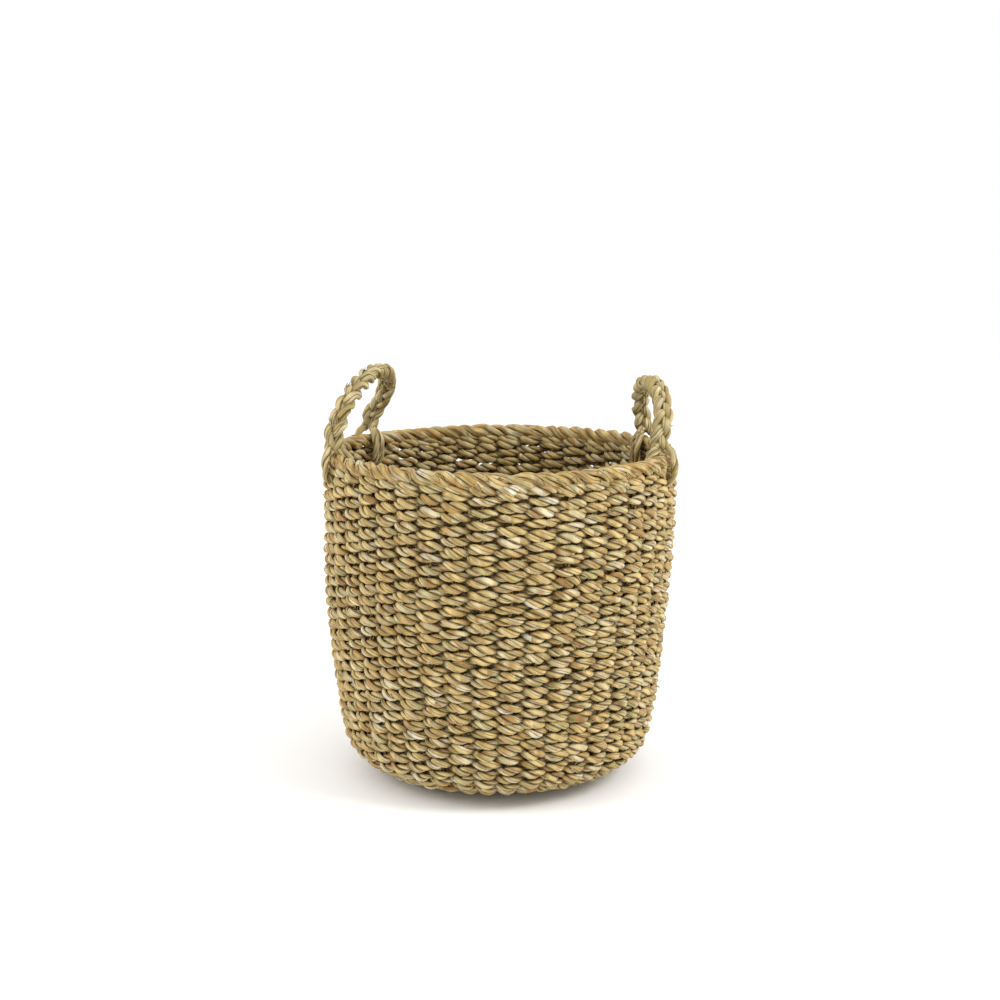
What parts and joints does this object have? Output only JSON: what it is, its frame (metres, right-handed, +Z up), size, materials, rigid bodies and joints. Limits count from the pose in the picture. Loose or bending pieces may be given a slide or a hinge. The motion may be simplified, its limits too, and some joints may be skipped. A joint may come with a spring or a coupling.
{
  "type": "seagrass storage basket",
  "caption": "Round, gently bellied storage basket of twisted seagrass cord in plain weave, with a rope rim and two braided loop handles that tilt.",
  "frame": {"origin": "centre of the underside of the base, where the basket stands", "axes": "+Z up along the basket's axis, -Y to the front, +X to the right handle"},
  "size_m": [0.3626, 0.3616, 0.4225],
  "materials": {
    "stake_cord": "dry, dull twisted seagrass",
    "weft_cord": "dry twisted seagrass, straw with green and brown leaves",
    "rim_rope": "thick twisted seagrass rope, slight sheen",
    "handle_braid": "braided flat seagrass leaf, pale, slight sheen"
  },
  "bodies": {
    "basket": {"stake_01": "stake_cord", "stake_02": "stake_cord", "stake_03": "stake_cord", "stake_04": "stake_cord", "stake_05": "stake_cord", "stake_06": "stake_cord", "stake_07": "stake_cord", "stake_08": "stake_cord", "stake_09": "stake_cord", "stake_10": "stake_cord", "stake_11": "stake_cord", "stake_12": "stake_cord", "stake_13": "stake_cord", "stake_14": "stake_cord", "stake_15": "stake_cord", "stake_16": "stake_cord", "stake_17": "stake_cord", "stake_18": "stake_cord", "stake_19": "stake_cord", "stake_20": "stake_cord", "stake_21": "stake_cord", "base_weft_inner": "weft_cord", "base_weft_outer": "weft_cord", "corner_weft_lower": "weft_cord", "corner_weft_upper": "weft_cord", "wall_weft_1": "weft_cord", "wall_weft_2": "weft_cord", "wall_weft_3": "weft_cord", "wall_weft_4": "weft_cord", "wall_weft_5": "weft_cord", "wall_weft_6": "weft_cord", "wall_weft_7": "weft_cord", "wall_weft_8": "weft_cord", "rim_rope": "rim_rope", "left_handle_front_foot": "handle_braid", "left_handle_back_foot": "handle_braid", "right_handle_front_foot": "handle_braid", "right_handle_back_foot": "handle_braid"},
    "left_handle": {"left_handle_strand_1": "handle_braid", "left_handle_strand_2": "handle_braid", "left_handle_strand_3": "handle_braid"},
    "right_handle": {"right_handle_strand_1": "handle_braid", "right_handle_strand_2": "handle_braid", "right_handle_strand_3": "handle_braid"}
  },
  "joints": [
    {"name": "left_handle_tilt", "type": "hinge", "parent": "basket", "child": "left_handle", "pos_m": [-0.16216, -0.05583, 0.3564], "axis": [0.1478, 0.989, 0], "range_deg": [-95, 48]},
    {"name": "right_handle_tilt", "type": "hinge", "parent": "basket", "child": "right_handle", "pos_m": [0.16011, -0.06146, 0.3564], "axis": [0.0262, -0.9997, 0], "range_deg": [-70, 70]}
  ]
}
